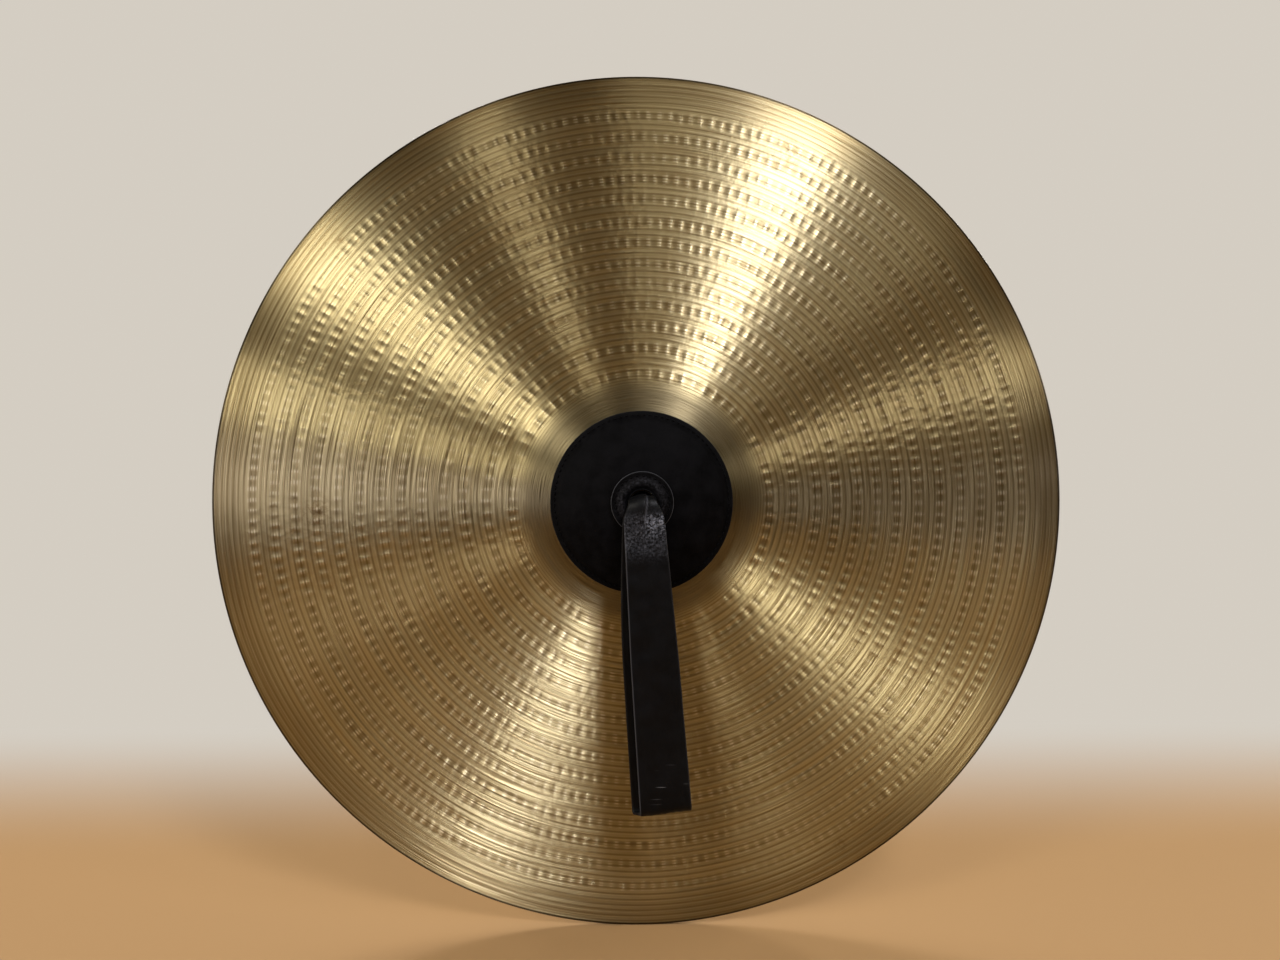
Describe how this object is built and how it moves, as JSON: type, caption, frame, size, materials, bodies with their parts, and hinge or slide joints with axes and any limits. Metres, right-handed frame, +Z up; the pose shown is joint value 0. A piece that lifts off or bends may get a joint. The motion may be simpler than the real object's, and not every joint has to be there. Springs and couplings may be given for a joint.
{
  "type": "clash cymbal pair",
  "caption": "Pair of hammered and lathed bronze hand cymbals, closed rim to rim, each with a round leather pad on its bell and a knotted leather strap loop.",
  "frame": {"origin": "centre of the clash plane, where the two rims meet", "axes": "+Y along both plates' axis from the front bell towards the rear bell, +Z up as the straps hang, +X to the right seen from the front"},
  "size_m": [0.508, 0.1432, 0.508],
  "materials": {
    "bronze": "hammered and lathed, satin",
    "black_leather": "fine grain, half gloss",
    "lining_leather": "rough suede side",
    "felt": "pressed felt",
    "thread": "waxed thread"
  },
  "bodies": {
    "rear_cymbal": {"rear_plate": "bronze"},
    "front_cymbal": {"front_plate": "bronze"},
    "rear_pad": {"rear_pad_lining": "lining_leather", "rear_pad_core": "felt", "rear_pad_cover": "black_leather", "rear_pad_stitching": "thread", "rear_collar": "black_leather", "rear_collar_stitching": "thread", "rear_strap_throat": "black_leather", "rear_knot_tail_1": "black_leather", "rear_knot_tail_2": "black_leather", "rear_knot_tail_3": "black_leather", "rear_knot_tail_4": "black_leather"},
    "front_pad": {"front_pad_lining": "lining_leather", "front_pad_core": "felt", "front_pad_cover": "black_leather", "front_pad_stitching": "thread", "front_collar": "black_leather", "front_collar_stitching": "thread", "front_strap_throat": "black_leather", "front_knot_tail_1": "black_leather", "front_knot_tail_2": "black_leather", "front_knot_tail_3": "black_leather", "front_knot_tail_4": "black_leather"},
    "rear_strap": {"rear_strap": "black_leather"},
    "front_strap": {"front_strap": "black_leather"}
  },
  "joints": [
    {"name": "clash_stroke", "type": "slide", "parent": "rear_cymbal", "child": "front_cymbal", "axis": [0, -1, 0], "range_m": [0, 0.3]},
    {"name": "front_pad_swivel", "type": "hinge", "parent": "front_cymbal", "child": "front_pad", "pos_m": [0, -0.0515, 0], "axis": [0, -1, 0], "continuous": true},
    {"name": "front_strap_lift", "type": "hinge", "parent": "front_pad", "child": "front_strap", "pos_m": [0, -0.06614, 0], "axis": [-0.9972, 0, -0.075], "range_deg": [0, 170]},
    {"name": "rear_pad_swivel", "type": "hinge", "parent": "rear_cymbal", "child": "rear_pad", "pos_m": [0, 0.0515, 0], "axis": [0, 1, 0], "continuous": true},
    {"name": "rear_strap_lift", "type": "hinge", "parent": "rear_pad", "child": "rear_strap", "pos_m": [0, 0.06614, 0], "axis": [0.9972, 0, -0.075], "range_deg": [0, 170]}
  ]
}
